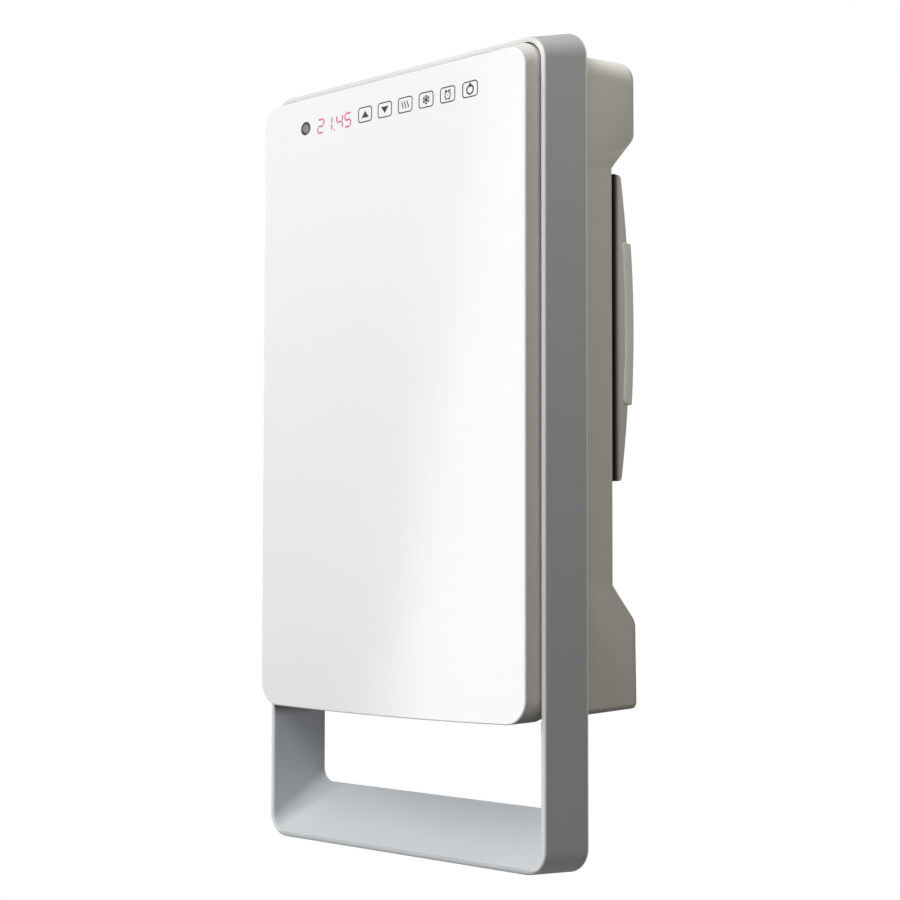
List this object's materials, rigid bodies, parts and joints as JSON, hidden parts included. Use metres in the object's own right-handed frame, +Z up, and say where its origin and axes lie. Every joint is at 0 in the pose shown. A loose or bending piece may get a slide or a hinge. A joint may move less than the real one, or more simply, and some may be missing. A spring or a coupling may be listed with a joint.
{
  "type": "bathroom wall fan heater",
  "caption": "Slim wall fan heater with a glossy touch panel, a towel frame that hangs below the body and a slide-out rear filter.",
  "frame": {"origin": "on the wall plane, midway between the wall bracket's two screw holes", "axes": "+X to the right as seen from the front, +Y back into the wall, +Z up"},
  "size_m": [0.2932, 0.1477, 0.6431],
  "materials": {
    "white_gloss": "gloss",
    "foam_tape": "matt",
    "warm_grey": "satin",
    "frame_grey": "satin",
    "steel": "plain",
    "dark_plastic": "matt",
    "mesh": "matt",
    "grip_grey": "satin",
    "galvanised": "zinc plated",
    "rubber": "matt",
    "white_nylon": "matt",
    "duct_plastic": "matt",
    "fan_black": "matt",
    "bronze": "plain",
    "motor_metal": "plain",
    "core_aluminium": "plain",
    "ivory": "matt",
    "black_plastic": "matt",
    "board_green": "satin",
    "component_grey": "satin",
    "pad_foam": "matt",
    "lens_dark": "gloss",
    "cable_white": "satin",
    "lead_red": "satin",
    "lead_blue": "satin",
    "lead_brown": "satin"
  },
  "bodies": {
    "heater": {"front_panel": "white_gloss", "panel_tape": "foam_tape", "front_cover": "warm_grey", "rear_housing": "warm_grey", "towel_frame": "frame_grey", "rail_liner": "frame_grey", "frame_screws": "steel", "cover_screws": "steel", "outlet_grille": "dark_plastic", "inlet_grille": "dark_plastic", "wall_bracket": "galvanised", "cable_grommet": "rubber", "terminal_block": "white_nylon", "fan_scroll": "duct_plastic", "scroll_screws": "steel", "fan_bush": "bronze", "fan_motor": "motor_metal", "motor_ring": "rubber", "motor_screws": "steel", "heating_core": "core_aluminium", "core_frame": "ivory", "thermal_cutout": "black_plastic", "temperature_probe": "black_plastic", "power_board": "board_green", "board_parts": "component_grey", "buzzer": "black_plastic", "board_screws": "steel", "touch_board": "board_green", "touch_screws": "steel", "touch_pads": "pad_foam", "display_module": "black_plastic", "sensor_lens": "lens_dark", "sensor_can": "steel", "ribbon_cable": "cable_white", "heater_leads": "lead_red", "motor_lead": "lead_blue", "mains_leads": "lead_brown"},
    "fan": {"fan_wheel": "fan_black", "fan_shaft": "steel"},
    "filter": {"filter_cassette": "warm_grey", "filter_mesh": "mesh", "filter_grip": "grip_grey"}
  },
  "joints": [
    {"name": "fan_spin", "type": "hinge", "parent": "heater", "child": "fan", "pos_m": [0, -0.0879, -0.3883], "axis": [1, 0, 0], "continuous": true},
    {"name": "filter_slide", "type": "slide", "parent": "heater", "child": "filter", "axis": [1, 0, 0], "range_m": [0, 0.24]}
  ]
}
